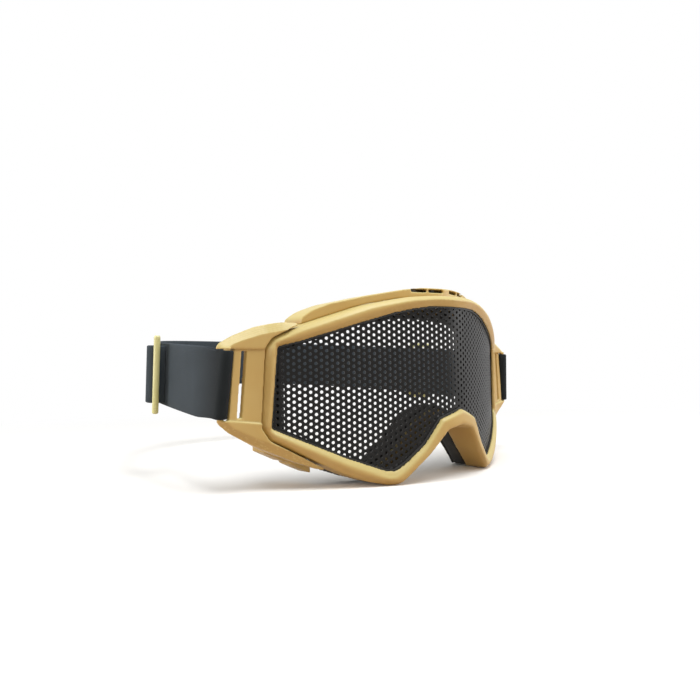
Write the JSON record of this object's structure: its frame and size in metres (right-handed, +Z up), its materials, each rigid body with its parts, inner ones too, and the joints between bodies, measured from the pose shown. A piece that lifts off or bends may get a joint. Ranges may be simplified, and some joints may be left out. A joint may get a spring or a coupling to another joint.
{
  "type": "mesh safety goggles",
  "caption": "Wrap-round safety goggles with a perforated black mesh lens in a tan moulded frame, swinging outriggers and an elastic webbing strap with sliders.",
  "frame": {"origin": "middle of the face seal at the brow: mid width, on the seal's back face, at mid height of the lens window", "axes": "+X to the wearer's left, +Y backwards to the head and the strap, +Z up; the lens faces -Y"},
  "size_m": [0.224, 0.2397, 0.097],
  "materials": {
    "moulded_shell": "satin moulded tan plastic",
    "filter_foam": "open-cell filter foam",
    "gasket_rubber": "thin black rubber",
    "black_mesh": "black coated perforated sheet",
    "black_plastic": "matte black plastic",
    "face_foam": "closed-cell face foam",
    "fleece": "brushed fleece skin",
    "steel_pin": "plain steel pin",
    "webbing": "elastic woven webbing",
    "slider_plastic": "satin pale olive-tan plastic"
  },
  "bodies": {
    "frame": {"frame_shell": "moulded_shell", "brow_vent_hood": "moulded_shell", "brow_vent_foam": "filter_foam", "lower_vent_cover_left": "moulded_shell", "lower_vent_cover_right": "moulded_shell", "lower_vent_foam_left": "filter_foam", "lower_vent_foam_right": "filter_foam", "lens_gasket": "gasket_rubber", "mesh_lens": "black_mesh", "lens_retainer": "black_plastic", "face_foam": "face_foam", "face_fleece": "fleece", "pivot_pins_left": "steel_pin", "pivot_pins_right": "steel_pin", "strap_side_left": "webbing", "strap_side_right": "webbing", "strap_rear_band": "webbing"},
    "outrigger_left_body": {"outrigger_left": "moulded_shell"},
    "outrigger_right_body": {"outrigger_right": "moulded_shell"},
    "slider_left_body": {"strap_slider_left": "slider_plastic", "strap_bight_left": "webbing"},
    "slider_right_body": {"strap_slider_right": "slider_plastic", "strap_bight_right": "webbing"}
  },
  "joints": [
    {"name": "outrigger_swing_left", "type": "hinge", "parent": "frame", "child": "outrigger_left_body", "pos_m": [0.0794, 0.01548, 0.0274], "axis": [-0.1478, -0.1067, -0.9832], "range_deg": [0, 10], "deforming": ["strap_side_left"]},
    {"name": "slider_slide_left", "type": "slide", "parent": "frame", "child": "slider_left_body", "axis": [0.145, -0.9866, -0.0742], "range_m": [0, 0.04], "deforming": ["strap_side_left"]},
    {"name": "outrigger_swing_right", "type": "hinge", "parent": "frame", "child": "outrigger_right_body", "pos_m": [-0.0794, 0.01548, 0.0274], "axis": [-0.1478, 0.1067, 0.9832], "range_deg": [0, 10], "deforming": ["strap_side_right"]},
    {"name": "slider_slide_right", "type": "slide", "parent": "frame", "child": "slider_right_body", "axis": [-0.145, -0.9866, -0.0742], "range_m": [0, 0.04], "deforming": ["strap_side_right"]}
  ]
}
